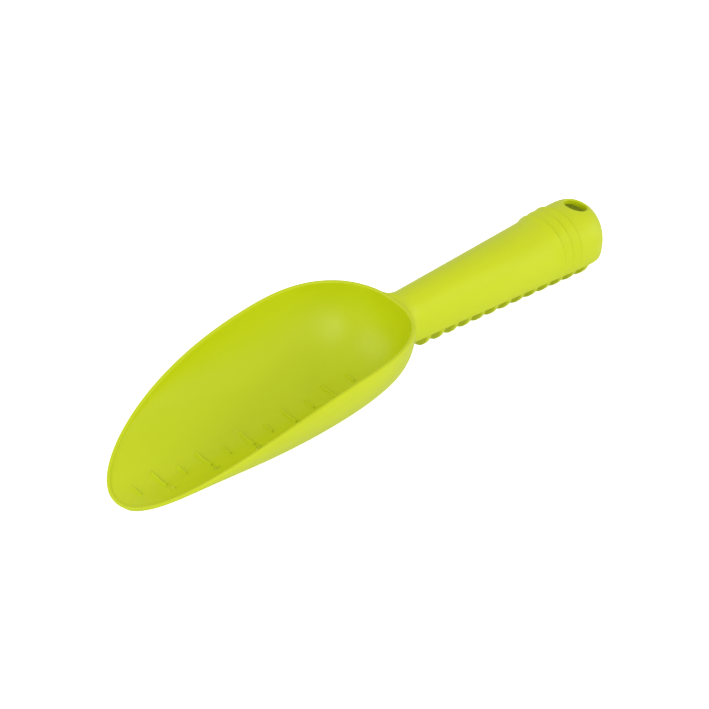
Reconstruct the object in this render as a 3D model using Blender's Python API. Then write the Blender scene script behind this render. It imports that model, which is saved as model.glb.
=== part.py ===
"""Hand trowel: a moulded plastic scoop with a graduated blade and a ribbed hollow handle.

Tool axes, in metres: X runs from the blade's tip to the handle's end, Y is across, Z is up.
Every piece is modelled in tool axes and hangs on one empty, which lays the tool on the ground
at Z = 0, on the flat under its blade and on the foot of its last grip rib.
"""
import math

import bmesh
import bpy
from mathutils import Matrix, Vector

# Blade outline, seen from above: two superellipse halves that meet at the widest place.
BLADE_LENGTH = 0.1285        # inside the rim, tip to back
BLADE_WIDEST = 0.0854        # from the tip
BLADE_HALF_WIDTH = 0.0310    # inside the rim
TIP_FULLNESS = (2.47, 2.07)  # exponents along and across, front half
BACK_FULLNESS = (2.53, 2.28)
WALL = 0.0016                # of the sides and of the rim
FLOOR_WALL = 0.0022

# Rim height along the blade, and the floor line along its middle, lowest near the middle.
RIM_TIP_HEIGHT = -0.0008
RIM_BACK_HEIGHT = 0.0283
RIM_BULGE = 1.43
FLOOR_TIP_HEIGHT = -0.0011
FLOOR_LOWEST = -0.0037
FLOOR_LOWEST_AT = 0.0570
FLOOR_CURVE = 1.344          # height per square of the way back from the lowest place
SECTION_TIP = (1.62, 1.19)   # exponents: how square the bowl is across its tip, sides and back
SECTION_SIDE = (1.94, 1.89)
SECTION_BACK = (3.20, 2.30)
REST_AT = 0.073              # where the underside meets the ground
LAND_DEPTH = 0.0004          # of the flat there

# Graduations: raised bars across the floor, a long one at every second centimetre.
MARK_PITCH = 0.010
MARK_COUNT = 11
MARK_FIRST = 0.0075
MARK_HEIGHT = 0.0005
MARK_SINK = 0.0010
MARK_SHORT = (0.0060, 0.0009)  # length across, width
MARK_LONG = (0.0100, 0.0012)

# Handle: an arch, open underneath, on a straight axis nearly level with the blade.
AXIS_HEIGHT = 0.01646
AXIS_SLOPE = -0.007
HALF_WIDTH_FRONT = 0.00878
HALF_WIDTH_SLOPE = 0.06545
CROWN_FRONT = 0.01116        # from the axis up to the roof
CROWN_SLOPE = 0.0431
ARCH_FULLNESS = 2.16
EDGE_BELOW_AXIS = 0.0067     # lower edge of the arch
HANDLE_FRONT = 0.1285
HANDLE_END = 0.2363
DOME_LENGTH = 0.0143
DOME_FULLNESS = (2.7, 3.4)   # exponents across and up
DOME_LAST = 0.9995           # share of its length at which the dome is closed with a flat
CORNER_RADIUS = 0.0036       # of the rounded lower corner
HANDLE_WALL = 0.0020
FLARE_RADIUS = 0.0065        # hollow fillet where the handle meets the blade
FLARE_TOP = 0.22             # share of it that the roof keeps

# Grip rings near the end: three shallow scales, each ending in a drop.
RING_FIRST = 0.2088          # the first drop
RING_PITCH = 0.0045
RING_COUNT = 3
RING_STEP = 0.0006
RING_FADE = 0.8              # how soon a ring fades down the sides
RING_START = 0.0003          # from one drop to the foot of the next ring
RING_DROP = 0.00005          # length of a drop

# Hanging hole, through the roof of the handle.
HOLE_FROM_END = 0.0081
HOLE_HALF = (0.0043, 0.0052)  # half its length and half its width
HOLE_DEPTH = 0.012

# Grip ribs: thin plates across the hollow, with round feet that complete the handle's section.
RIB_COUNT = 13
RIB_FIRST = 0.1402
RIB_PITCH = 0.006817
RIB_THICKNESS = 0.0020
RIB_FOOT_FRONT = 0.0144      # from the axis down to the foot
RIB_FOOT_SLOPE = 0.0100

GAP = 0.0003                 # between pieces that touch
ROOT_OVERLAP = 0.008         # how far the uncut handle runs into the blade
CUT_MARGIN = 0.002           # how far a cutter runs past what it cuts
BLADE_ROOM_HEIGHT = 0.03
SHARP_ANGLE = 35
RING_POINTS = 64
BOWL_RINGS = 11
DOME_RINGS = 9
ARCH_POINTS = 29
FOOT_POINTS = 13

LIME = (0.62, 0.70, 0.05, 1.0)


def powered(value, exponent):
    return math.copysign(abs(value) ** exponent, value)


def rim_height(x):
    share = min(max(x / BLADE_LENGTH, 0), 1)
    bulge = RIM_BULGE * share * (1 - share)
    return RIM_TIP_HEIGHT + (RIM_BACK_HEIGHT - RIM_TIP_HEIGHT) * (share + bulge)


def floor_height(x):
    if x < FLOOR_LOWEST_AT:
        share = (1 + math.cos(math.pi * max(x, 0) / FLOOR_LOWEST_AT)) / 2
        return FLOOR_LOWEST + (FLOOR_TIP_HEIGHT - FLOOR_LOWEST) * share
    run = min(x, BLADE_WIDEST) - FLOOR_LOWEST_AT
    straight = max(x - BLADE_WIDEST, 0)
    return FLOOR_LOWEST + FLOOR_CURVE * run * (run + 2 * straight)


def outline_point(angle, outside=0.0):
    """A point of the blade's outline. Angle 0 is the tip, and half a turn is the back."""
    forward = math.cos(angle)
    along, across = TIP_FULLNESS if forward > 0 else BACK_FULLNESS
    reach = (BLADE_WIDEST if forward > 0 else BLADE_LENGTH - BLADE_WIDEST) + outside
    x = BLADE_WIDEST - reach * powered(forward, 2 / along)
    return Vector((x, (BLADE_HALF_WIDTH + outside) * powered(math.sin(angle), 2 / across)))


def front_half_width(x, outside):
    along, across = TIP_FULLNESS
    share = min(max((BLADE_WIDEST - x) / (BLADE_WIDEST + outside), 0), 1)
    return (BLADE_HALF_WIDTH + outside) * (1 - share**along) ** (1 / across)


def blended(start, end, share):
    smooth = share * share * (3 - 2 * share)
    return [first + (last - first) * smooth for first, last in zip(start, end)]


def section_rise(share, fullness):
    """From 0 in the middle of the bowl to 1 at its rim."""
    first, second = fullness
    return 1 - (1 - min(share, 1) ** first) ** (1 / second)


def bowl_point(angle, share, outside=0.0):
    """A point of the bowl, at a share of the way from its middle to its rim.

    In front of the widest place each cross-section has its own depth. Behind it, the back
    wall closes the bowl, so the rise follows the way from the middle instead.
    """
    rim = outline_point(angle, outside)
    x = BLADE_WIDEST + (rim.x - BLADE_WIDEST) * share
    y = rim.y * share
    forward = math.cos(angle)
    under = outside * FLOOR_WALL / WALL
    bottom = floor_height(x) - under
    if share == 1:
        return Vector((x, y, rim_height(rim.x)))
    if forward > 0:
        fullness = blended(SECTION_TIP, SECTION_SIDE, min(max(x / BLADE_WIDEST, 0), 1))
        across = abs(y) / front_half_width(x, outside)
        return Vector((x, y, bottom + (rim_height(x) - bottom) * section_rise(across, fullness)))
    fullness = blended(SECTION_SIDE, SECTION_BACK, forward * forward)
    depth = rim_height(rim.x) - floor_height(rim.x) + under
    return Vector((x, y, bottom + depth * section_rise(share, fullness)))


def ground_height(x):
    """The ground under the tool, in tool axes."""
    start = floor_height(REST_AT) - FLOOR_WALL + LAND_DEPTH
    last_rib = RIB_FIRST + (RIB_COUNT - 1) * RIB_PITCH
    foot = axis_height(last_rib) - rib_foot(last_rib)
    return start + (foot - start) * (x - REST_AT) / (last_rib - REST_AT)


def axis_height(x):
    return AXIS_HEIGHT + AXIS_SLOPE * (x - HANDLE_FRONT)


def edge_height(x):
    return axis_height(x) - EDGE_BELOW_AXIS


def half_width(x):
    return HALF_WIDTH_FRONT + HALF_WIDTH_SLOPE * (x - HANDLE_FRONT)


def crown(x):
    return CROWN_FRONT + CROWN_SLOPE * (x - HANDLE_FRONT)


def rib_foot(x):
    return RIB_FOOT_FRONT + RIB_FOOT_SLOPE * (x - HANDLE_FRONT)


def flare(x):
    """How far the hollow fillet stands out from the handle at x."""
    start = HANDLE_FRONT + WALL
    run = min(max((x - start) / FLARE_RADIUS, 0), 1)
    return FLARE_RADIUS * (1 - math.sqrt(1 - (1 - run) ** 2))


def dome_keep(x, inset):
    """The shares of its full width and height that the handle keeps at x, down to 0."""
    start = HANDLE_END - DOME_LENGTH
    run = min(max((x - start) / (DOME_LENGTH - inset), 0), 1)
    return [(1 - run**fullness) ** (1 / fullness) for fullness in DOME_FULLNESS]


def corner_rise(x):
    """How far the lower edge has risen round the handle's lower corner."""
    run = min(max((x - HANDLE_END) / CORNER_RADIUS + 1, 0), 1)
    return CORNER_RADIUS * (1 - math.sqrt(1 - run**2))


def ring_step(x):
    """Height of the grip rings: each rises slowly towards the end and drops at its edge."""
    place = (x - RING_FIRST) / RING_PITCH
    if place < -1 or place >= RING_COUNT - 1:
        return 0.0
    return RING_STEP * (place - math.floor(place))


def link(name, mesh_bm, color=LIME, roughness=0.45):
    """An object from a bmesh, in its own material, on the tool's frame."""
    bmesh.ops.recalc_face_normals(mesh_bm, faces=mesh_bm.faces)
    mesh = bpy.data.meshes.new(name)
    mesh_bm.to_mesh(mesh)
    mesh_bm.free()
    mesh.shade_smooth()
    mesh.set_sharp_from_angle(angle=math.radians(SHARP_ANGLE))
    piece = bpy.data.objects.new(name, mesh)
    bpy.context.scene.collection.objects.link(piece)
    piece.parent = bpy.data.objects["trowel_frame"]
    material = bpy.data.materials.new(name + "_plastic")
    material.use_nodes = True
    shader = material.node_tree.nodes["Principled BSDF"]
    shader.inputs["Base Color"].default_value = color
    shader.inputs["Roughness"].default_value = roughness
    mesh.materials.append(material)
    return piece


def as_cutter(piece):
    piece.hide_render = True
    piece.display_type = "WIRE"
    return piece


def boolean(piece, cutter, operation):
    modifier = piece.modifiers.new(cutter.name, "BOOLEAN")
    modifier.operation = operation
    modifier.object = cutter
    modifier.solver = "EXACT"


def closed_loops(bm, rings):
    """Skins rings of points, each a closed loop, one to the next."""
    loops = [[bm.verts.new(point) for point in ring] for ring in rings]
    for first, second in zip(loops, loops[1:]):
        for i, vert in enumerate(first):
            j = (i + 1) % len(first)
            bm.faces.new((vert, first[j], second[j], second[i]))
    return loops


def lofted(name, rings):
    """A solid through closed rings, with flat ends."""
    bm = bmesh.new()
    loops = closed_loops(bm, rings)
    bm.faces.new(loops[0])
    bm.faces.new(loops[-1])
    return link(name, bm)


def bowl_rings(outside):
    """The bowl's surface as loops from the rim inwards."""
    angles = [2 * math.pi * i / RING_POINTS for i in range(RING_POINTS)]
    shares = [math.sin(math.pi / 2 * i / BOWL_RINGS) for i in range(BOWL_RINGS, 0, -1)]
    return [[bowl_point(angle, share, outside) for angle in angles] for share in shares]


def on_ground(point):
    return Vector((point.x, point.y, max(point.z, ground_height(point.x))))


def make_blade():
    """The bowl, with one skin inside, one outside and a flat rim between them."""
    inner = bowl_rings(0.0)
    outer = [[on_ground(point) for point in ring] for ring in bowl_rings(WALL)]
    bm = bmesh.new()
    loops = closed_loops(bm, list(reversed(inner)) + outer)
    middle = Vector((BLADE_WIDEST, 0, floor_height(BLADE_WIDEST)))
    for loop, centre in ((loops[0], middle), (loops[-1], middle - Vector((0, 0, FLOOR_WALL)))):
        hub = bm.verts.new(on_ground(centre) if loop is loops[-1] else centre)
        for i, vert in enumerate(loop):
            bm.faces.new((vert, loop[(i + 1) % len(loop)], hub))
    return link("scoop_blade", bm)


def make_blade_room():
    """The bowl filled to its rim and grown by the gap, to cut the handle's root to the bowl."""
    loops = bowl_rings(WALL + GAP)
    bm = bmesh.new()
    made = closed_loops(bm, [[point + Vector((0, 0, BLADE_ROOM_HEIGHT)) for point in loops[0]]] + loops)
    bm.faces.new(made[0])
    hub = bm.verts.new((BLADE_WIDEST, 0, floor_height(BLADE_WIDEST) - FLOOR_WALL - GAP))
    for i, vert in enumerate(made[-1]):
        bm.faces.new((vert, made[-1][(i + 1) % len(made[-1])], hub))
    return as_cutter(link("blade_room", bm))


def make_marks():
    """The graduations, sunk into the floor so that they join the blade."""
    bm = bmesh.new()
    for i in range(MARK_COUNT):
        length, width = MARK_LONG if i % 2 else MARK_SHORT
        x = MARK_FIRST + i * MARK_PITCH
        tall = MARK_HEIGHT + MARK_SINK
        place = Matrix.Translation((x, 0, floor_height(x) + MARK_HEIGHT - tall / 2))
        bmesh.ops.create_cube(bm, matrix=place @ Matrix.Diagonal((width, length, tall, 1)))
    return as_cutter(link("mark_bars", bm))


def arch_ring(x, inset, low, ringed=True):
    """The arch's closed section at x, drawn in by inset and cut off flat at low."""
    keep_wide, keep_tall = dome_keep(x, inset)
    wide = half_width(x) - inset
    tall = crown(x) - inset
    centre = axis_height(x)
    deep = rib_foot(x) - inset
    low += corner_rise(x) if inset == 0 else 0.0
    sweep = math.acos(max(-1, -min((centre - low) / deep, 1)))
    ring = []
    for i in range(ARCH_POINTS):
        angle = sweep * (2 * i / (ARCH_POINTS - 1) - 1)
        lift = ring_step(x) * max(math.cos(angle * RING_FADE), 0) if ringed else 0.0
        spread = flare(x) * (FLARE_TOP + math.sin(math.pi * abs(angle) / sweep))
        y = (wide + lift + spread) * powered(math.sin(angle), 2 / ARCH_FULLNESS)
        above = abs(angle) < math.pi / 2
        rise = (tall + lift + flare(x) * FLARE_TOP) * keep_tall if above else deep
        z = rise * powered(math.cos(angle), 2 / ARCH_FULLNESS)
        ring.append(Vector((x, y * keep_wide, max(centre + z, low))))
    return ring


def stations(start, end, count):
    return [start + (end - start) * i / (count - 1) for i in range(count)]


def make_handle():
    """The arch: a solid outside less a solid inside, the blade's room and the hanging hole."""
    root = HANDLE_FRONT - ROOT_OVERLAP
    flare_xs = stations(HANDLE_FRONT + WALL, HANDLE_FRONT + WALL + FLARE_RADIUS, 6)
    dome_shares = [math.sin(math.pi / 2 * i / DOME_RINGS) for i in range(DOME_RINGS)]
    dome_shares.append(DOME_LAST)
    xs = [root] + flare_xs
    for i in range(RING_COUNT):
        drop = RING_FIRST + i * RING_PITCH
        xs += [drop - RING_PITCH + RING_START, drop - RING_DROP]
    xs.append(RING_FIRST + (RING_COUNT - 1) * RING_PITCH + RING_START)
    xs += [HANDLE_END - DOME_LENGTH * (1 - share) for share in dome_shares]
    rings = [arch_ring(x, 0.0, edge_height(x)) for x in sorted(xs)]
    handle = lofted("handle_shell", rings)
    hollow_end = HANDLE_END - HANDLE_WALL
    inner_xs = [root - CUT_MARGIN] + flare_xs
    inner_xs += [hollow_end - (DOME_LENGTH - HANDLE_WALL) * (1 - share) for share in dome_shares]
    inner = [arch_ring(x, HANDLE_WALL, edge_height(x) - HANDLE_WALL, False) for x in inner_xs]
    boolean(handle, as_cutter(lofted("handle_hollow", inner)), "DIFFERENCE")
    boolean(handle, make_blade_room(), "DIFFERENCE")
    boolean(handle, make_hanging_hole(), "DIFFERENCE")


def make_hanging_hole():
    bm = bmesh.new()
    x = HANDLE_END - HOLE_FROM_END
    place = Matrix.Translation((x, 0, axis_height(x) + crown(x) - HOLE_DEPTH / 2 + GAP))
    size = Matrix.Diagonal((*HOLE_HALF, HOLE_DEPTH, 1))
    bmesh.ops.create_cone(
        bm, cap_ends=True, segments=32, radius1=1, radius2=1, depth=1, matrix=place @ size)
    return as_cutter(link("hanging_hole", bm))


def make_rib(index):
    """A plate across the hollow. Its foot is as wide as the handle, and its web fits inside."""
    x = RIB_FIRST + index * RIB_PITCH
    centre, wide, deep = axis_height(x), half_width(x), rib_foot(x)
    foot_top = edge_height(x) - GAP
    sweep = math.acos(min((centre - foot_top) / deep, 1))
    outline = []
    for share in stations(-1, 1, FOOT_POINTS):
        angle = sweep * share
        y = wide * powered(math.sin(angle), 2 / ARCH_FULLNESS)
        outline.append((y, centre - deep * math.cos(angle) ** (2 / ARCH_FULLNESS)))
    inset = HANDLE_WALL + GAP
    web = arch_ring(x, inset, foot_top, False)
    outline += [(point.y, point.z) for point in reversed(web)]
    bm = bmesh.new()
    face = bm.faces.new([bm.verts.new((x, y, z)) for y, z in outline])
    made = bmesh.ops.extrude_face_region(bm, geom=[face])
    moved = [item for item in made["geom"] if isinstance(item, bmesh.types.BMVert)]
    bmesh.ops.translate(bm, verts=moved, vec=(RIB_THICKNESS, 0, 0))
    link(f"grip_rib_{index + 1:02d}", bm)


def make_frame():
    """The empty that lays the tool on the ground, with the origin where its underside rests."""
    slope = (ground_height(BLADE_LENGTH) - ground_height(0.0)) / BLADE_LENGTH
    turn = Matrix.Rotation(math.atan(slope), 4, "Y")
    rest = Vector((REST_AT, 0, ground_height(REST_AT)))
    frame = bpy.data.objects.new("trowel_frame", None)
    bpy.context.scene.collection.objects.link(frame)
    frame.matrix_world = turn @ Matrix.Translation(-rest)
    print("tool axes turn by", math.atan(slope), "about", rest.x, rest.z)


def main():
    for old in list(bpy.data.objects):
        bpy.data.objects.remove(old)
    make_frame()
    boolean(make_blade(), make_marks(), "UNION")
    make_handle()
    for index in range(RIB_COUNT):
        make_rib(index)


main()
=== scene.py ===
from math import acos, asin, atan, atan2, ceil, copysign, cos, floor, hypot, pi, radians, sin, sqrt

import bmesh
import bpy
from mathutils import Matrix, Vector


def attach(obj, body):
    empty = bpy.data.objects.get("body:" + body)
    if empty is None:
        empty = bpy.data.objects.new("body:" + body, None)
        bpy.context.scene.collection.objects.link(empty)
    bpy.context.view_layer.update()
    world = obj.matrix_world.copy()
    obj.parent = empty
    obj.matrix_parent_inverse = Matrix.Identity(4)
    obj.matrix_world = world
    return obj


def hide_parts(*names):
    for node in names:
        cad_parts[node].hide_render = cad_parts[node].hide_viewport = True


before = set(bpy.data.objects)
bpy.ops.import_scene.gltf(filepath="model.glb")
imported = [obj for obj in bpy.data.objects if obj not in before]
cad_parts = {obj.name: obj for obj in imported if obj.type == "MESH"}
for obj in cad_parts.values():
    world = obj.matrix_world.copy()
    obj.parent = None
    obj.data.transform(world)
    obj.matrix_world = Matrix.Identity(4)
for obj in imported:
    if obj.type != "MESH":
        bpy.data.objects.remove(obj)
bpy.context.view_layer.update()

# ---- blade: an open bowl. All shapes are in tool axes, in metres: X from tip to handle end, Z up
blade = {
    "length": 0.1285,            # inside the rim
    "widest": 0.0854,            # from the tip
    "halfWidth": 0.0310,
    "tipFullness": (2.47, 2.07),
    "backFullness": (2.53, 2.28),
    "wall": 0.00158,
    "floorWall": 0.0022,
    "lipRadius": 0.00055,        # rounding of both rim edges
    "rimTip": -0.0008,
    "rimBack": 0.0283,
    "rimBulge": 1.43,
    "floorTip": -0.0011,
    "floorLow": -0.0037,
    "floorLowAt": 0.0570,
    "floorCurve": 1.344,
    "sectionTip": (1.62, 1.19),
    "sectionSide": (1.94, 1.89),
    "sectionBack": (3.20, 2.30),
    "tipRound": 0.004,           # length over which the underside rounds up to the rim at the tip
    "restAt": 0.073,             # the spot that it lies on
    "restFlat": 0.0004,
    "wallRings": 30,
    "outerRings": 34,
    "lipSteps": 5,
}

# ---- ruler: raised bars and numbers on the blade's floor, one bar for each centimetre
ruler = {
    "first": 0.0075,
    "pitch": 0.010,
    "count": 11,
    "barHeight": 0.00095,
    "shortBar": (0.0030, 0.00056),   # half length across, half width
    "longBar": (0.0050, 0.00072),
    "edge": 0.00034,                 # width of the soft edge of a bar
    "numberAcross": -0.0077,
    "numberTall": 0.0031,
    "numberHeight": 0.00062,
    "stroke": 0.00032,
    "patchX": (0.0050, 0.1120),
    "patchY": (-0.0102, 0.0066),
}

# ---- handle: an arch, open underneath, with a domed end
handle = {
    "front": 0.1285,
    "end": 0.23627,
    "axisHeight": 0.01646,
    "axisSlope": -0.007,
    "halfWidth": 0.00878,
    "halfWidthSlope": 0.06545,
    "crown": 0.01116,
    "crownSlope": 0.0431,
    "fullness": 2.16,
    "edgeBelowAxis": 0.0067,
    "domeLength": 0.0143,
    "domeFullness": (2.7, 3.4),  # across, up
    "lastGap": 0.00008,
    "cornerRadius": 0.0036,
    "wall": 0.0020,
    "flareRadius": 0.0065,       # hollow fillet against the blade
    "flareTop": 0.30,
    "edgeRadius": 0.0006,
    "ringFirst": 0.2088,
    "ringPitch": 0.0045,
    "ringCount": 3,
    "ringStep": 0.0009,
    "ringGroove": 0.00040,       # behind the drop of each ring
    "grooveShare": 0.17,
    "holeFromEnd": 0.0081,
    "holeHalf": (0.0043, 0.0052),   # along, across
    "holeLip": 0.0007,
    "archPoints": 121,
    "hollowPoints": 61,
}

# ---- grip ribs: thin plates across the hollow of the handle
ribs = {
    "first": 0.1402,
    "pitch": 0.006817,
    "count": 13,
    "thickness": 0.0020,
    "foot": 0.0144,
    "footSlope": 0.0100,
    "edgeRadius": 0.0003,
    "sink": 0.0004,              # how far a plate runs into the shell
}


def powered(value, exponent):
    return copysign(abs(value) ** exponent, value)


def clamped(value, low=0.0, high=1.0):
    return min(max(value, low), high)


def eased(share):
    share = clamped(share)
    return share * share * (3 - 2 * share)


def mixed(first, second, share):
    return first + (second - first) * share


def rimHeight(x):
    share = clamped(x / blade["length"])
    bulge = blade["rimBulge"] * share * (1 - share)
    return blade["rimTip"] + (blade["rimBack"] - blade["rimTip"]) * (share + bulge)


def floorHeight(x):
    lowAt = blade["floorLowAt"]
    if x < lowAt:
        share = (1 + cos(pi * max(x, 0) / lowAt)) / 2
        return mixed(blade["floorLow"], blade["floorTip"], share)
    run = min(x, blade["widest"]) - lowAt
    straight = max(x - blade["widest"], 0)
    return blade["floorLow"] + blade["floorCurve"] * run * (run + 2 * straight)


def outlinePoint(angle, outside):
    # angle 0 is the tip and half a turn is the back
    forward = cos(angle)
    along, across = blade["tipFullness"] if forward > 0 else blade["backFullness"]
    reach = blade["widest"] if forward > 0 else blade["length"] - blade["widest"]
    x = blade["widest"] - (reach + outside) * powered(forward, 2 / along)
    return x, (blade["halfWidth"] + outside) * powered(sin(angle), 2 / across)


def outlineAngle(x):
    widest = blade["widest"]
    if x < widest:
        return acos(clamped((widest - x) / widest) ** (blade["tipFullness"][0] / 2))
    share = clamped((x - widest) / (blade["length"] - widest))
    return acos(-share ** (blade["backFullness"][0] / 2))


def frontHalfWidth(x, outside):
    along, across = blade["tipFullness"]
    share = clamped((blade["widest"] - x) / (blade["widest"] + outside))
    return (blade["halfWidth"] + outside) * (1 - share**along) ** (1 / across)


def sectionRise(share, first, second, blend):
    # from 0 in the middle of the bowl to 1 at its rim
    blend = eased(blend)
    along = mixed(first[0], second[0], blend)
    across = mixed(first[1], second[1], blend)
    return 1 - (1 - min(share, 1) ** along) ** (1 / across)


def backShare(x, y, outside):
    # how far out of the middle a point behind the widest place is, and how far round
    along, across = blade["backFullness"]
    forward = (x - blade["widest"]) / (blade["length"] - blade["widest"] + outside)
    side = abs(y) / (blade["halfWidth"] + outside)
    if max(forward, side) < 1e-7:
        return 0.0, 0.0
    low, high = 0.0, 1.5
    for step in range(30):
        share = (low + high) / 2
        if (forward / share) ** along + (side / share) ** across > 1:
            low = share
        else:
            high = share
    return min(share, 1.0), min((forward / share) ** along, 1.0)


def lipAt(x):
    return min(blade["lipRadius"], 0.75 * (rimHeight(x) - floorHeight(x)))


def bowlHeight(x, y, outside=0.0):
    under = outside * blade["floorWall"] / blade["wall"]
    lip = blade["lipRadius"] if outside else lipAt(x)
    bottom = floorHeight(x) - under
    widest = blade["widest"]
    if x < widest:
        share = abs(y) / max(frontHalfWidth(x, outside), 1e-6)
        rise = sectionRise(share, blade["sectionTip"], blade["sectionSide"], x / widest)
        rim = rimHeight(x) - lip
        if outside:
            # the underside rounds up to the rim at the very tip
            near = clamped(1 - (x + outside) / blade["tipRound"])
            bottom = rim - (rim - bottom) * sqrt(1 - near * near)
        return bottom + (rim - bottom) * rise
    share, turned = backShare(x, y, outside)
    rimX = widest + (x - widest) / max(share, 1e-6)
    rise = sectionRise(share, blade["sectionSide"], blade["sectionBack"], turned)
    return bottom + (rimHeight(rimX) - lip - floorHeight(rimX) + under) * rise


def groundHeight(x):
    start = floorHeight(blade["restAt"]) - blade["floorWall"] + blade["restFlat"]
    lastRib = ribs["first"] + (ribs["count"] - 1) * ribs["pitch"]
    foot = axisHeight(lastRib) - ribFoot(lastRib)
    return start + (foot - start) * (x - blade["restAt"]) / (lastRib - blade["restAt"])


def axisHeight(x):
    return handle["axisHeight"] + handle["axisSlope"] * (x - handle["front"])


def ribFoot(x):
    return ribs["foot"] + ribs["footSlope"] * (x - handle["front"])


def restPose():
    # lays the tool on the ground, with its resting spot at the origin
    slope = (groundHeight(blade["length"]) - groundHeight(0.0)) / blade["length"]
    rest = Vector((blade["restAt"], 0, groundHeight(blade["restAt"])))
    return Matrix.Rotation(atan(slope), 4, "Y") @ Matrix.Translation(-rest)


pose = restPose()


class Skin:
    # collects points and faces, then becomes one mesh piece
    def __init__(self):
        self.points = []
        self.faces = []

    def add(self, x, y, z):
        self.points.append((x, y, z))
        return len(self.points) - 1

    def row(self, points):
        return [self.add(*point) for point in points]

    def bridge(self, first, second, closed=True):
        for i in range(len(first) - (0 if closed else 1)):
            j = (i + 1) % len(first)
            self.faces.append((first[i], first[j], second[j], second[i]))

    def fan(self, loop, hub):
        for i, index in enumerate(loop):
            self.faces.append((index, loop[(i + 1) % len(loop)], hub))

    def piece(self, name, material, sharpAt=40):
        bm = bmesh.new()
        made = [bm.verts.new(point) for point in self.points]
        for face in self.faces:
            corners = []
            for index in face:
                if made[index] not in corners:
                    corners.append(made[index])
            bm.faces.new(corners)
        bmesh.ops.remove_doubles(bm, verts=bm.verts, dist=1e-6)
        loose = [vert for vert in bm.verts if not vert.link_faces]
        bmesh.ops.delete(bm, geom=loose, context="VERTS")
        bmesh.ops.recalc_face_normals(bm, faces=bm.faces)
        bm.transform(pose)
        mesh = bpy.data.meshes.new(name)
        bm.to_mesh(mesh)
        bm.free()
        mesh.shade_smooth()
        mesh.set_sharp_from_angle(angle=radians(sharpAt))
        mesh.materials.append(material)
        made = bpy.data.objects.new(name, mesh)
        bpy.context.scene.collection.objects.link(made)
        return made


# ---- numbers, as strokes in a box one unit tall
def oval(middle, wide, tall, steps=14):
    turns = [2 * pi * i / steps for i in range(steps + 1)]
    return [(middle[0] + wide * cos(a), middle[1] + tall * sin(a)) for a in turns]


numberStrokes = {
    "0": [oval((0, 0), 0.28, 0.5)],
    "1": [[(-0.16, 0.28), (0.06, 0.5), (0.06, -0.5)]],
    "2": [[(-0.3, 0.26), (-0.25, 0.4), (-0.1, 0.5), (0.1, 0.5), (0.26, 0.4), (0.3, 0.22),
           (0.2, 0.02), (-0.3, -0.5), (0.32, -0.5)]],
    "4": [[(0.14, -0.5), (0.14, 0.5), (-0.36, -0.18), (0.36, -0.18)]],
    "6": [[(0.26, 0.4), (0.1, 0.5), (-0.1, 0.46), (-0.26, 0.22), (-0.29, -0.15)],
          oval((0, -0.2), 0.29, 0.3)],
    "8": [oval((0, 0.26), 0.23, 0.24), oval((0, -0.23), 0.29, 0.27)],
}


def toLine(point, start, end):
    # distance from a point to a straight stroke
    dx, dy = end[0] - start[0], end[1] - start[1]
    share = ((point[0] - start[0]) * dx + (point[1] - start[1]) * dy) / (dx * dx + dy * dy)
    share = clamped(share)
    return hypot(point[0] - start[0] - dx * share, point[1] - start[1] - dy * share)


def numberRise(x, y, markX, text):
    tall = ruler["numberTall"]
    along = (x - markX) / tall              # the numbers stand with their tops to the handle
    nearest = 1.0
    for place, letter in enumerate(text):
        across = (ruler["numberAcross"] - y) / tall - 0.72 * (place - (len(text) - 1) / 2)
        for stroke in numberStrokes[letter]:
            for start, end in zip(stroke, stroke[1:]):
                nearest = min(nearest, toLine((across, along), start, end))
    return ruler["numberHeight"] * (1 - eased(nearest * tall / ruler["stroke"]))


def rulerRise(x, y):
    index = round((x - ruler["first"]) / ruler["pitch"])
    if not 0 <= index < ruler["count"]:
        return 0.0
    markX = ruler["first"] + index * ruler["pitch"]
    halfLength, halfWidth = ruler["longBar"] if index % 2 else ruler["shortBar"]
    reach = halfLength - halfWidth
    away = hypot(x - markX, max(abs(y) - reach, 0))
    rise = ruler["barHeight"] * (1 - eased((away - halfWidth + ruler["edge"]) / ruler["edge"]))
    if index % 2 and y < -halfLength and abs(x - markX) < 0.6 * ruler["numberTall"]:
        rise = max(rise, numberRise(x, y, markX, str(index + 1)))
    return rise


def linesBetween(low, high, wanted, widest):
    # the wanted places, with more between them wherever they are further apart than widest
    places = sorted({low, high, *[place for place in wanted if low < place < high]})
    lines = [low]
    for place in places[1:]:
        if place - lines[-1] < 0.00004:
            continue
        count = ceil((place - lines[-1]) / widest)
        start = lines[-1]
        lines += [mixed(start, place, (i + 1) / count) for i in range(count)]
    return lines


def rulerColumns():
    # close together at the tip, where the rim turns fastest
    fine = [ruler["patchX"][0] + 0.0003 * i for i in range(1, 18)]
    for index in range(ruler["count"]):
        x = ruler["first"] + index * ruler["pitch"]
        halfWidth = (ruler["longBar"] if index % 2 else ruler["shortBar"])[1]
        offsets = [0.0] + [halfWidth - ruler["edge"] * i / 6 for i in range(-1, 7)]
        if index % 2:
            offsets += [halfWidth + 0.00016 * i for i in range(1, 9)]
        fine += [x + side * offset for offset in offsets for side in (-1, 1)]
    return linesBetween(*ruler["patchX"], fine, 0.0016)


def rulerRows():
    fine = [ruler["numberAcross"] + 0.00016 * i for i in range(-12, 13)]
    for halfLength, halfWidth in (ruler["shortBar"], ruler["longBar"]):
        ends = [halfLength + 0.00006 - 0.00011 * i for i in range(8)]
        fine += [side * end for end in ends for side in (-1, 1)]
    return linesBetween(*ruler["patchY"], fine, 0.0009)


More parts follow.
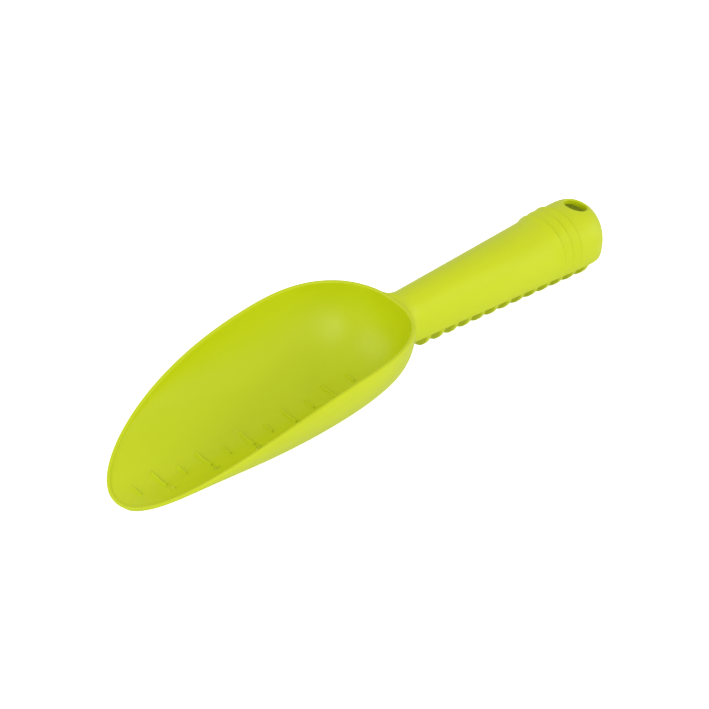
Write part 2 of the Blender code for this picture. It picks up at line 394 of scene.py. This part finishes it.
def makeBlade(material):
    skin = Skin()
    columns, rows = rulerColumns(), rulerRows()
    grid = [[skin.add(x, y, bowlHeight(x, y) + rulerRise(x, y)) for y in rows] for x in columns]
    for first, second in zip(grid, grid[1:]):
        skin.bridge(first, second, closed=False)

    # the patch's edge as one loop, with the rim angle that each of its points runs out to
    lastX, lastY = len(columns) - 1, len(rows) - 1
    rimX = [mixed(0.0022, 0.1262, (x - columns[0]) / (columns[-1] - columns[0])) for x in columns]
    sideAngle = [outlineAngle(x) for x in rimX]
    acrossShare = [(y - rows[0]) / (rows[-1] - rows[0]) for y in rows]
    loop = [(i, 0, -sideAngle[i]) for i in range(lastX)]
    loop += [(lastX, j, -sideAngle[-1] - 2 * (pi - sideAngle[-1]) * acrossShare[j])
             for j in range(lastY)]
    loop += [(i, lastY, sideAngle[i]) for i in range(lastX, 0, -1)]
    loop += [(0, j, sideAngle[0] * (2 * acrossShare[j] - 1)) for j in range(lastY, 0, -1)]
    angles = [angle for i, j, angle in loop]

    previous = [grid[i][j] for i, j, angle in loop]
    rim = [outlinePoint(angle, 0.0) for angle in angles]
    count = blade["wallRings"]
    for ring in range(1, count):
        share = sin(pi / 2 * ring / count)
        points = []
        for (i, j, angle), edge in zip(loop, rim):
            x = mixed(columns[i], edge[0], share)
            y = mixed(rows[j], edge[1], share)
            points.append((x, y, bowlHeight(x, y)))
        current = skin.row(points)
        skin.bridge(previous, current)
        previous = current

    # rounded rim: inner edge, flat, outer edge
    steps = blade["lipSteps"]
    wall, lip = blade["wall"], blade["lipRadius"]
    turns = [pi / 2 * i / steps for i in range(steps + 1)]
    profile = [(1, turn) for turn in turns] + [(-1, turn) for turn in reversed(turns)]
    for side, turn in profile:
        points = []
        for angle, edge in zip(angles, rim):
            radius = lipAt(edge[0]) if side > 0 else lip
            back = lip * (1 - cos(turn))
            outside = back if side > 0 else wall - back
            x, y = outlinePoint(angle, outside)
            points.append((x, y, rimHeight(edge[0]) - radius * (1 - sin(turn))))
        current = skin.row(points)
        skin.bridge(previous, current)
        previous = current

    # outer skin, down to a hub under the middle
    outerRim = [outlinePoint(angle, wall) for angle in angles]
    count = blade["outerRings"]
    for ring in range(count - 1, 0, -1):
        share = sin(pi / 2 * ring / count)
        points = []
        for edge in outerRim:
            x = mixed(blade["widest"], edge[0], share)
            y = edge[1] * share
            points.append((x, y, max(bowlHeight(x, y, wall), groundHeight(x))))
        current = skin.row(points)
        skin.bridge(previous, current)
        previous = current
    hub = floorHeight(blade["widest"]) - blade["floorWall"]
    skin.fan(previous, skin.add(blade["widest"], 0, max(hub, groundHeight(blade["widest"]))))
    return skin.piece("scoopBlade", material, 60)


# ---- handle shapes
def flare(x):
    # how far the hollow fillet stands out from the handle
    run = clamped((x - handle["front"] - blade["wall"]) / handle["flareRadius"])
    return handle["flareRadius"] * (1 - sqrt(1 - (1 - run) ** 2))


def domeKeep(x, inset=0.0):
    # what the domed end leaves of the width and of the rise
    run = clamped((x - handle["end"] + handle["domeLength"]) / (handle["domeLength"] - inset))
    return [(1 - run**full) ** (1 / full) for full in handle["domeFullness"]]


def ringLift(x, share):
    # grip rings: each rises slowly towards the end, drops at its edge and has a groove behind it
    place = (x - handle["ringFirst"]) / handle["ringPitch"]
    last = handle["ringCount"] - 1
    if place < -1 or place > last + handle["grooveShare"]:
        return 0.0
    rise = place - floor(place)
    lift = 0.0
    if place < last:
        drop = 1 - eased((rise - 0.95) / 0.05)
        lift = handle["ringStep"] * eased(rise * 0.62) / eased(0.62) * drop
    if place > 0 and rise < handle["grooveShare"]:
        lift -= handle["ringGroove"] * sin(pi * sqrt(rise / handle["grooveShare"]))
    return lift * (1 - eased((share - 0.76) / 0.22))


def edgeHeight(x):
    run = clamped((x - handle["end"]) / handle["cornerRadius"] + 1)
    rise = handle["cornerRadius"] * (1 - sqrt(1 - run**2))
    return axisHeight(x) - handle["edgeBelowAxis"] + rise


def archPoint(x, share, inset=0.0, low=None):
    # a point of the arch's section, from share -1 at its near edge to 1 at its far edge
    keepWide, keepTall = domeKeep(x, inset)
    out = x - handle["front"]
    centre, deep = axisHeight(x), ribFoot(x) - inset
    sweep = acos(clamped(-(centre - low) / deep, -1, 1))
    angle = sweep * share
    lift = 0.0 if inset else ringLift(x, abs(share))
    spread = flare(x) * (handle["flareTop"] + sin(pi * abs(share)))
    wide = handle["halfWidth"] + handle["halfWidthSlope"] * out - inset + lift + spread
    tall = handle["crown"] + handle["crownSlope"] * out - inset + lift
    tall += flare(x) * handle["flareTop"]
    rise = tall * keepTall if abs(angle) < pi / 2 else deep
    y = wide * keepWide * powered(sin(angle), 2 / handle["fullness"])
    z = centre + rise * powered(cos(angle), 2 / handle["fullness"])
    return min(x, handle["end"] - handle["lastGap"]), y, max(z, low)


def roofHeight(x, y, inset):
    keepWide, keepTall = domeKeep(x, inset)
    out = x - handle["front"]
    wide = (handle["halfWidth"] + handle["halfWidthSlope"] * out - inset) * keepWide
    tall = (handle["crown"] + handle["crownSlope"] * out - inset) * keepTall
    full = handle["fullness"]
    return axisHeight(x) + tall * (1 - clamped(abs(y) / wide) ** full) ** (1 / full)


def bladeBack(y, z):
    # where the blade's outer wall stands behind its widest place, at this height
    z = min(z, rimHeight(blade["length"]) - blade["lipRadius"] - 0.00005)
    low, high = blade["widest"], blade["length"] + blade["wall"]
    for step in range(24):
        x = (low + high) / 2
        if bowlHeight(x, y, blade["wall"]) < z:
            low = x
        else:
            high = x
    return x


def againstBlade(point, away):
    # moves a point of the handle's root so that the root follows the blade's back
    x, y, z = point
    start = handle["front"] + blade["wall"]
    top = rimHeight(blade["length"]) - 0.0005
    z = min(z, top + max(away, 0) * 0.2)
    fade = (1 - clamped(away / 0.016)) ** 2
    return x + (bladeBack(y, z) - start) * fade, y, z


def handleStations():
    start = handle["front"] + blade["wall"]
    rootMm = (-0.5, 0, 0.08, 0.2, 0.4, 0.7, 1.1, 1.6, 2.2, 3, 4, 5, 6, 6.5, 7.5, 9, 11, 13.5, 16)
    stations = [start + away / 1000 for away in rootMm]
    ringStart = handle["ringFirst"] - handle["ringPitch"]
    stations = linesBetween(stations[0], ringStart - 0.001, stations, 0.003)
    pitch = handle["ringPitch"]
    for ring in range(handle["ringCount"]):
        shares = [0, 0.005, 0.012, 0.022, 0.035, 0.05, 0.07, 0.09, 0.115, 0.14, 0.17]
        shares += [i / 14 for i in range(3, 13)] + [0.9, 0.94, 0.95, 0.958, 0.967, 0.975]
        shares += [0.983, 0.991, 0.998]
        stations += [ringStart + pitch * (ring + share) for share in shares]
    domeStart = handle["end"] - handle["domeLength"]
    shares = [0, 0.005, 0.012, 0.022, 0.035, 0.05, 0.07, 0.09, 0.115, 0.14, 0.171, 0.3, 0.5]
    stations += [handle["ringFirst"] + pitch * (2 + share) for share in shares]
    shares = [sin(pi / 2 * i / 44) for i in range(45)]
    stations += [domeStart + handle["domeLength"] * share for share in shares]
    hollowEnd = handle["end"] - handle["wall"]
    return sorted({*stations, hollowEnd - 0.00002, hollowEnd + 0.00002})


def edgeRound(y, low, radius, steps):
    # points round the shell's lower edge, from the side of the shell to its underside
    centre = abs(y) - radius
    turns = [pi / 2 * i / steps for i in range(1, steps + 1)]
    return [(copysign(centre + radius * cos(a), y), low + radius * (1 - sin(a))) for a in turns]


def hollowRound(y, low, radius, steps):
    centre = abs(y) + radius
    turns = [pi / 2 * i / steps for i in range(1, steps + 1)]
    return [(copysign(centre - radius * cos(a), y), low + radius * (1 - sin(a))) for a in turns]


def handleSection(x):
    # the closed section of the shell: outside, far lower edge, hollow, near lower edge
    start = handle["front"] + blade["wall"]
    low = edgeHeight(x)
    side = archPoint(x, 1, 0.0, low)[1]
    radius = min(handle["edgeRadius"], 0.3 * abs(side), 0.4 * (axisHeight(x) - low))
    count = handle["archPoints"]
    shares = [2 * i / (count - 1) - 1 for i in range(count)]
    outer = [archPoint(x, share, 0.0, low + radius) for share in shares]
    farRound = [(x, *point) for point in edgeRound(outer[-1][1] or 1e-9, low, radius, 4)]
    nearRound = [(x, *point) for point in edgeRound(outer[0][1] or -1e-9, low, radius, 4)]
    inset = handle["wall"]
    hollowCount = handle["hollowPoints"]
    hollowEnd = handle["end"] - inset
    if x < hollowEnd:
        hollowShares = [1 - 2 * i / (hollowCount - 1) for i in range(hollowCount)]
        small = min(0.0004, 0.3 * (abs(side) - 0.0))
        inner = [archPoint(x, share, inset, low + small) for share in hollowShares]
        farIn = [(x, *point) for point in hollowRound(inner[0][1] or 1e-9, low, small, 3)][::-1]
        nearIn = [(x, *point) for point in hollowRound(inner[-1][1] or -1e-9, low, small, 3)]
    else:
        inner = [(x, 0.0, low)] * hollowCount
        farIn = nearIn = [(x, 0.0, low)] * 3
    section = outer + farRound + farIn + inner + nearIn + nearRound[::-1]
    section = [(min(x, handle["end"] - handle["lastGap"]), y, z) for x, y, z in section]
    if x < start + 0.016:
        section = [againstBlade(point, x - start) for point in section]
    return section


def ovalPoint(x, y, middle, half):
    # the point of the oval in the same direction as this one
    turn = atan2(y / half[1], (x - middle) / half[0])
    return middle + half[0] * cos(turn), half[1] * sin(turn)


def widened(amount):
    return [half + amount for half in handle["holeHalf"]]


def holeBlock(skin, loops, stations, columns, inset, half, middle):
    # leaves a block of the skin out round the hole and fills it with rings down to an oval
    first = max(i for i, x in enumerate(stations) if x < middle - half[0] - 0.0012)
    last = min(i for i, x in enumerate(stations) if x > middle + half[0] + 0.0009)
    nearest = loops[first]
    inside = [c for c in columns if abs(skin.points[nearest[c]][1]) < half[1] + 0.0028]
    low, high = inside[0], inside[-1]
    edge = [loops[first][c] for c in range(low, high)]
    edge += [loops[i][high] for i in range(first, last)]
    edge += [loops[last][c] for c in range(high, low, -1)]
    edge += [loops[i][low] for i in range(last, first, -1)]
    ends = [ovalPoint(*skin.points[index][:2], middle, half) for index in edge]
    previous = edge
    steps = 8
    for step in range(1, steps + 1):
        share = step / steps
        points = []
        for index, (endX, endY) in zip(edge, ends):
            x = mixed(skin.points[index][0], endX, share)
            y = mixed(skin.points[index][1], endY, share)
            points.append((x, y, roofHeight(x, y, inset)))
        current = skin.row(points)
        skin.bridge(previous, current)
        previous = current
    return (first, last, low, high), previous


def holeRows(skin, loop, middle, halves, drops):
    # carries the oval down into the hole
    start = [skin.points[index] for index in loop]
    previous = loop
    for half, drop in zip(halves, drops):
        current = skin.row([(*ovalPoint(x, y, middle, half), z - drop) for x, y, z in start])
        skin.bridge(previous, current)
        previous = current
    return previous


def makeHandle(material):
    skin = Skin()
    stations = handleStations()
    loops = [skin.row(handleSection(x)) for x in stations]
    outerCount, hollowCount = handle["archPoints"], handle["hollowPoints"]
    hollowStart = outerCount + 4 + 3
    middle = handle["end"] - handle["holeFromEnd"]
    lip = handle["holeLip"]
    outerSkip, outerLoop = holeBlock(
        skin, loops, stations, range(outerCount), 0.0, widened(lip), middle)
    hollowRange = range(hollowStart, hollowStart + hollowCount)
    innerSkip, innerLoop = holeBlock(
        skin, loops, stations, hollowRange, handle["wall"], widened(lip / 2), middle)
    for i, (first, second) in enumerate(zip(loops, loops[1:])):
        for c in range(len(first)):
            skips = (outerSkip, innerSkip)
            if any(s[0] <= i < s[1] and s[2] <= c < s[3] for s in skips):
                continue
            d = (c + 1) % len(first)
            skin.faces.append((first[c], first[d], second[d], second[c]))
    turns = [radians(a) for a in (20, 40, 60, 75, 90)]
    halves = [widened(lip * (1 - sin(a))) for a in turns]
    drops = [lip * (1 - cos(a)) for a in turns]
    throat = holeRows(skin, outerLoop, middle, halves, drops)
    halves = [widened(lip / 2 * (1 - sin(a))) for a in turns]
    drops = [-lip / 2 * (1 - cos(a)) for a in turns]
    under = holeRows(skin, innerLoop, middle, halves, drops)
    joinLoops(skin, throat, under, middle)
    skin.faces.append(tuple(loops[0]))
    return skin.piece("handleShell", material, 50)


def joinLoops(skin, first, second, middle):
    # joins two circles whose points don't match, walking round both
    def turned(loop):
        pairs = [(atan2(skin.points[i][1], skin.points[i][0] - middle), i) for i in loop]
        return [(turn, index) for turn, index in sorted(pairs)]
    a, b = turned(first), turned(second)
    i = j = 0
    while i < len(a) or j < len(b):
        nextA = a[(i + 1) % len(a)][0] + (2 * pi if i + 1 >= len(a) else 0)
        nextB = b[(j + 1) % len(b)][0] + (2 * pi if j + 1 >= len(b) else 0)
        here, there = a[i % len(a)][1], b[j % len(b)][1]
        if i < len(a) and (nextA <= nextB or j >= len(b)):
            skin.faces.append((here, a[(i + 1) % len(a)][1], there))
            i += 1
        else:
            skin.faces.append((here, b[(j + 1) % len(b)][1], there))
            j += 1


def ribOutline(x):
    # foot as wide as the handle, web inside the hollow, in (y, z)
    centre, deep = axisHeight(x), ribFoot(x)
    wide = handle["halfWidth"] + handle["halfWidthSlope"] * (x - handle["front"]) - 0.00002
    footTop = edgeHeight(x) + handle["edgeRadius"]
    sweep = acos(clamped((centre - footTop) / deep))
    outline = []
    for i in range(41):
        angle = sweep * (2 * i / 40 - 1)
        y = wide * powered(sin(angle), 2 / handle["fullness"])
        outline.append((y, centre - deep * cos(angle) ** (2 / handle["fullness"])))
    web = [archPoint(x, 1 - 2 * i / 40, handle["wall"] - ribs["sink"], footTop)
           for i in range(41)]
    return outline + [(y, z) for x, y, z in web]


def shrunk(outline, amount):
    # the outline moved inwards
    small = []
    for i, (y, z) in enumerate(outline):
        before, after = outline[i - 1], outline[(i + 1) % len(outline)]
        dy, dz = after[0] - before[0], after[1] - before[1]
        size = max(hypot(dy, dz), 1e-9)
        small.append((y - dz / size * amount, z + dy / size * amount))
    return small


def makeRib(index, material):
    x = ribs["first"] + index * ribs["pitch"]
    outline = ribOutline(x)
    radius, thick = ribs["edgeRadius"], ribs["thickness"]
    turns = [radians(a) for a in (0, 30, 60, 90)]
    front = [(radius * (1 - cos(a)), radius * (1 - sin(a))) for a in turns]
    back = [(thick - ahead, inward) for ahead, inward in reversed(front)]
    skin = Skin()
    loops = [skin.row([(x + ahead, y, z) for y, z in shrunk(outline, inward)])
             for ahead, inward in front + back]
    for first, second in zip(loops, loops[1:]):
        skin.bridge(first, second)
    skin.faces += [tuple(loops[0]), tuple(loops[-1])]
    return skin.piece(f"gripRib{index + 1:02d}", material, 50)


# ---- shader groups that every plastic here uses
def newGroup(name, inputs, outputs):
    group = bpy.data.node_groups.new(name, "ShaderNodeTree")
    for label, kind, value in inputs:
        socket = group.interface.new_socket(name=label, in_out="INPUT", socket_type=kind)
        socket.default_value = value
    for label, kind in outputs:
        group.interface.new_socket(name=label, in_out="OUTPUT", socket_type=kind)
    start = group.nodes.new("NodeGroupInput")
    end = group.nodes.new("NodeGroupOutput")
    start.location, end.location = (-900, 0), (700, 0)
    return group, start.outputs, end.inputs


def addNode(tree, kind, place, settings=None, links=None):
    node = tree.nodes.new(kind)
    node.location = place
    for name, value in (settings or {}).items():
        if hasattr(node, name):
            setattr(node, name, value)
        else:
            node.inputs[name].default_value = value
    for name, socket in (links or {}).items():
        tree.links.new(socket, node.inputs[name])
    return node


def mathNode(tree, operation, place, first, second):
    node = addNode(tree, "ShaderNodeMath", place, {"operation": operation})
    for slot, value in enumerate((first, second)):
        if isinstance(value, (int, float)):
            node.inputs[slot].default_value = value
        else:
            tree.links.new(value, node.inputs[slot])
    return node.outputs[0]


def mixColour(tree, place, factor, first, second):
    node = addNode(tree, "ShaderNodeMix", place, {"data_type": "RGBA"})
    for slot, value in ((0, factor), (6, first), (7, second)):
        if isinstance(value, (int, float, tuple)):
            node.inputs[slot].default_value = value
        else:
            tree.links.new(value, node.inputs[slot])
    return node.outputs[2]


def makeGrainGroup():
    # the fine spark-eroded texture that the mould leaves, with a soft orange peel under it
    group, given, out = newGroup(
        "mouldGrain",
        [("Grain Scale", "NodeSocketFloat", 5200.0), ("Peel Scale", "NodeSocketFloat", 260.0),
         ("Peel Share", "NodeSocketFloat", 0.4)],
        [("Height", "NodeSocketFloat"), ("Speck", "NodeSocketFloat")])
    place = addNode(group, "ShaderNodeTexCoord", (-900, 300)).outputs["Object"]
    grain = addNode(group, "ShaderNodeTexNoise", (-600, 250), {"Detail": 2.0, "Roughness": 0.6},
                    {"Vector": place, "Scale": given["Grain Scale"]})
    pits = addNode(group, "ShaderNodeTexVoronoi", (-600, -50), {"feature": "SMOOTH_F1"},
                   {"Vector": place, "Scale": given["Grain Scale"]})
    peel = addNode(group, "ShaderNodeTexNoise", (-600, -350), {"Detail": 1.0},
                   {"Vector": place, "Scale": given["Peel Scale"]})
    fine = mathNode(group, "MULTIPLY", (-350, 100), grain.outputs[0], pits.outputs["Distance"])
    wide = mathNode(group, "MULTIPLY", (-350, -200), peel.outputs[0], given["Peel Share"])
    height = mathNode(group, "ADD", (-100, 0), fine, wide)
    group.links.new(height, out["Height"])
    speck = addNode(group, "ShaderNodeMapRange", (-100, 300),
                    {"From Min": 0.35, "From Max": 0.65}, {"Value": grain.outputs[0]})
    group.links.new(speck.outputs[0], out["Speck"])
    return group


def makeFlowGroup():
    # slow swirls of slightly deeper and paler resin, stretched along the way it flowed
    group, given, out = newGroup(
        "resinFlow",
        [("Main Colour", "NodeSocketColor", (0.6, 0.7, 0.01, 1)),
         ("Deep Colour", "NodeSocketColor", (0.5, 0.6, 0.0, 1)),
         ("Pale Colour", "NodeSocketColor", (0.7, 0.8, 0.05, 1)),
         ("Swirl Scale", "NodeSocketFloat", 30.0), ("Amount", "NodeSocketFloat", 0.5)],
        [("Colour", "NodeSocketColor"), ("Swirl", "NodeSocketFloat")])
    place = addNode(group, "ShaderNodeTexCoord", (-900, 300)).outputs["Object"]
    stretched = addNode(group, "ShaderNodeMapping", (-720, 300), {"Scale": (0.35, 1.0, 1.0)},
                        {"Vector": place})
    swirl = addNode(group, "ShaderNodeTexNoise", (-520, 200),
                    {"Detail": 3.0, "Roughness": 0.55, "Distortion": 0.8},
                    {"Vector": stretched.outputs[0], "Scale": given["Swirl Scale"]})
    deep = addNode(group, "ShaderNodeMapRange", (-280, 200),
                   {"From Min": 0.52, "From Max": 0.3}, {"Value": swirl.outputs[0]})
    pale = addNode(group, "ShaderNodeMapRange", (-280, -100),
                   {"From Min": 0.5, "From Max": 0.75}, {"Value": swirl.outputs[0]})
    deepShare = mathNode(group, "MULTIPLY", (-80, 200), deep.outputs[0], given["Amount"])
    paleShare = mathNode(group, "MULTIPLY", (-80, -100), pale.outputs[0], given["Amount"])
    darker = mixColour(group, (120, 200), deepShare, given["Main Colour"], given["Deep Colour"])
    lighter = mixColour(group, (320, 100), paleShare, darker, given["Pale Colour"])
    group.links.new(lighter, out["Colour"])
    group.links.new(swirl.outputs[0], out["Swirl"])
    return group


def makeScuffGroup():
    # hair-thin rub marks and a few dull patches from handling
    group, given, out = newGroup(
        "handlingScuffs",
        [("Line Scale", "NodeSocketFloat", 160.0), ("Patch Scale", "NodeSocketFloat", 45.0),
         ("Amount", "NodeSocketFloat", 0.5)],
        [("Mask", "NodeSocketFloat")])
    place = addNode(group, "ShaderNodeTexCoord", (-900, 300)).outputs["Object"]
    masks = []
    for row, turn in enumerate((0.5, -0.9)):
        turned = addNode(group, "ShaderNodeMapping", (-720, 300 - 300 * row),
                         {"Rotation": (0.3, 0.2, turn), "Scale": (0.06, 1.0, 1.0)},
                         {"Vector": place})
        lines = addNode(group, "ShaderNodeTexNoise", (-520, 300 - 300 * row), {"Detail": 2.0},
                        {"Vector": turned.outputs[0], "Scale": given["Line Scale"]})
        thin = addNode(group, "ShaderNodeMapRange", (-320, 300 - 300 * row),
                       {"From Min": 0.68, "From Max": 0.74}, {"Value": lines.outputs[0]})
        masks.append(thin.outputs[0])
    both = mathNode(group, "MAXIMUM", (-120, 200), *masks)
    patch = addNode(group, "ShaderNodeTexNoise", (-520, -350), {"Detail": 2.0},
                    {"Vector": place, "Scale": given["Patch Scale"]})
    dull = addNode(group, "ShaderNodeMapRange", (-320, -350),
                   {"From Min": 0.45, "From Max": 0.7}, {"Value": patch.outputs[0]})
    where = mathNode(group, "MULTIPLY", (80, 100), both, dull.outputs[0])
    some = mathNode(group, "MULTIPLY", (280, 100), where, given["Amount"])
    group.links.new(some, out["Mask"])
    return group


grainGroup, flowGroup, scuffGroup = makeGrainGroup(), makeFlowGroup(), makeScuffGroup()

# ---- what each plastic is like, the ribs' copy darkened as painted shade; colours are linear
bladePlastic = {
    "main": (0.60, 0.69, 0.002, 1), "deep": (0.555, 0.645, 0.002, 1),
    "pale": (0.64, 0.73, 0.012, 1), "swirlScale": 26.0, "swirl": 0.55,
    "grainScale": 4600.0, "peelScale": 240.0, "peel": 0.5, "bump": 0.16,
    "rough": (0.36, 0.48), "scuffs": 0.5,
}
handlePlastic = {
    "main": (0.61, 0.70, 0.002, 1), "deep": (0.57, 0.66, 0.002, 1),
    "pale": (0.65, 0.74, 0.012, 1), "swirlScale": 34.0, "swirl": 0.5,
    "grainScale": 5200.0, "peelScale": 300.0, "peel": 0.35, "bump": 0.14,
    "rough": (0.38, 0.50), "scuffs": 0.7,
}
# the ribs' plastic is the handle's lime a little darker all over: painted shade for the plates in
# the hollow under the shell
ribPlasticPaintedShade = {
    "main": (0.59, 0.68, 0.0015, 1), "deep": (0.55, 0.64, 0.002, 1),
    "pale": (0.63, 0.72, 0.010, 1), "swirlScale": 60.0, "swirl": 0.45,
    "grainScale": 5600.0, "peelScale": 420.0, "peel": 0.3, "bump": 0.12,
    "rough": (0.38, 0.50), "scuffs": 0.3,
}


def makePlastic(name, look):
    material = bpy.data.materials.new(name)
    material.use_nodes = True
    tree = material.node_tree
    shader = tree.nodes["Principled BSDF"]
    shader.inputs["IOR"].default_value = 1.49
    shader.inputs["Specular IOR Level"].default_value = 0.42
    flow = addNode(tree, "ShaderNodeGroup", (-900, 300), {"node_tree": flowGroup})
    for label, key in (("Main Colour", "main"), ("Deep Colour", "deep"),
                       ("Pale Colour", "pale"), ("Swirl Scale", "swirlScale"),
                       ("Amount", "swirl")):
        flow.inputs[label].default_value = look[key]
    grain = addNode(tree, "ShaderNodeGroup", (-900, -100), {"node_tree": grainGroup})
    grain.inputs["Grain Scale"].default_value = look["grainScale"]
    grain.inputs["Peel Scale"].default_value = look["peelScale"]
    grain.inputs["Peel Share"].default_value = look["peel"]
    scuffs = addNode(tree, "ShaderNodeGroup", (-900, -400), {"node_tree": scuffGroup})
    scuffs.inputs["Amount"].default_value = look["scuffs"]

    # scuffs are paler, specks in the grain a little deeper
    speckShare = mathNode(tree, "MULTIPLY", (-600, 100), grain.outputs["Speck"], 0.10)
    specked = mixColour(tree, (-400, 250), speckShare, flow.outputs["Colour"], look["deep"])
    scuffShare = mathNode(tree, "MULTIPLY", (-600, -300), scuffs.outputs["Mask"], 0.35)
    colour = mixColour(tree, (-200, 250), scuffShare, specked, look["pale"])
    tree.links.new(colour, shader.inputs["Base Color"])

    smooth, dull = look["rough"]
    rough = addNode(tree, "ShaderNodeMapRange", (-600, -50),
                    {"From Min": 0.3, "From Max": 0.7, "To Min": smooth, "To Max": dull},
                    {"Value": flow.outputs["Swirl"]})
    scuffRough = mathNode(tree, "MULTIPLY", (-400, -250), scuffs.outputs["Mask"], 0.12)
    roughness = mathNode(tree, "ADD", (-200, -100), rough.outputs[0], scuffRough)
    tree.links.new(roughness, shader.inputs["Roughness"])

    bump = addNode(tree, "ShaderNodeBump", (-200, -350),
                   {"Strength": look["bump"], "Distance": 0.0001},
                   {"Height": grain.outputs["Height"]})
    tree.links.new(bump.outputs[0], shader.inputs["Normal"])
    return material


# ---- build
bladePiece = makeBlade(makePlastic("bladeLime", bladePlastic))
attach(bladePiece, "root")
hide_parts("scoop_blade")
print("blade:", len(bladePiece.data.polygons), "faces")

handlePiece = makeHandle(makePlastic("handleLime", handlePlastic))
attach(handlePiece, "root")
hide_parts("handle_shell")
print("handle:", len(handlePiece.data.polygons), "faces")

# a darker copy of the lime plastic, as painted shade on the ribs
ribMaterialPaintedShade = makePlastic("ribLimePaintedShade", ribPlasticPaintedShade)
for index in range(ribs["count"]):
    rib = makeRib(index, ribMaterialPaintedShade)
    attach(rib, "root")
    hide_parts(f"grip_rib_{index + 1:02d}")
print("ribs:", ribs["count"])

# ---- camera
cameraView = {
    "aim": (0.106508, -0.004345, 0.015),   # in tool axes
    "elevation": 36.817,
    "turn": 39.689,
    "roll": -0.378,
    "away": 0.73192,
    "lens": 97.753,
}


def makeCamera():
    up, turn, roll = [radians(cameraView[key]) for key in ("elevation", "turn", "roll")]
    level = Vector((sin(turn), cos(turn), 0))
    right = Vector((cos(turn), -sin(turn), 0))
    ahead = level * cos(up) - Vector((0, 0, sin(up)))
    above = level * sin(up) + Vector((0, 0, cos(up)))
    across = right * cos(roll) + above * sin(roll)
    above = above * cos(roll) - right * sin(roll)
    place = Vector(cameraView["aim"]) - ahead * cameraView["away"]
    matrix = Matrix((across, above, -ahead)).transposed().to_4x4()
    matrix.translation = place
    lens = bpy.data.cameras.new("camera")
    lens.lens, lens.sensor_width = cameraView["lens"], 36.0
    lens.clip_start, lens.clip_end = 0.01, 20
    camera = bpy.data.objects.new("camera", lens)
    bpy.context.scene.collection.objects.link(camera)
    camera.matrix_world = pose @ matrix
    bpy.context.scene.camera = camera


makeCamera()

# ---- studio: pale floor, soft boxes, even white surroundings
studio = {
    "floorSize": 12.0,
    "floorGlow": 0.045,
    "floorPale": 0.85,           # how much paler the paper looks to the camera alone
    "surroundings": 0.634,
    "boxes": {
        # place, size, watts
        "front": ((-0.5, -1.2, 0.9), 0.9, 7.9),
        "left": ((-1.0, 0.7, 0.9), 0.9, 4.5),
        "lowRight": ((1.2, -0.9, 0.25), 0.9, 4.6),
    },
}


def makeFloor():
    mesh = bpy.data.meshes.new("studioFloor")
    half = studio["floorSize"] / 2
    mesh.from_pydata([(-half, -half, 0), (half, -half, 0), (half, half, 0), (-half, half, 0)],
                     [], [(0, 1, 2, 3)])
    ground = bpy.data.objects.new("studioFloor", mesh)
    bpy.context.scene.collection.objects.link(ground)
    material = bpy.data.materials.new("studioPaper")
    material.use_nodes = True
    shader = material.node_tree.nodes["Principled BSDF"]
    shader.inputs["Base Color"].default_value = (0.88, 0.88, 0.88, 1)
    shader.inputs["Roughness"].default_value = 0.9
    shader.inputs["Emission Color"].default_value = (1, 1, 1, 1)
    glow = addNode(material.node_tree, "ShaderNodeMapRange", (-300, -200),
                   {"To Min": studio["floorGlow"], "To Max": studio["floorPale"]})
    seen = addNode(material.node_tree, "ShaderNodeLightPath", (-500, -200))
    material.node_tree.links.new(seen.outputs["Is Camera Ray"], glow.inputs["Value"])
    material.node_tree.links.new(glow.outputs[0], shader.inputs["Emission Strength"])
    mesh.materials.append(material)
    ground.location.z = -0.0002


def makeBoxes():
    for name, (place, size, watts) in studio["boxes"].items():
        lamp = bpy.data.lights.new(name + "Box", "AREA")
        lamp.shape, lamp.size, lamp.energy = "SQUARE", size, watts
        box = bpy.data.objects.new(name + "Box", lamp)
        bpy.context.scene.collection.objects.link(box)
        box.location = place
        box.rotation_euler = (-Vector(place)).to_track_quat("-Z", "Y").to_euler()


def makeSurroundings():
    world = bpy.data.worlds.new("studio")
    world.use_nodes = True
    back = world.node_tree.nodes["Background"]
    back.inputs["Color"].default_value = (1, 1, 1, 1)
    back.inputs["Strength"].default_value = studio["surroundings"]
    bpy.context.scene.world = world


makeFloor()
makeBoxes()
makeSurroundings()
bpy.context.scene.view_settings.view_transform = "Standard"
print("studio: floor and", len(studio["boxes"]), "soft boxes")
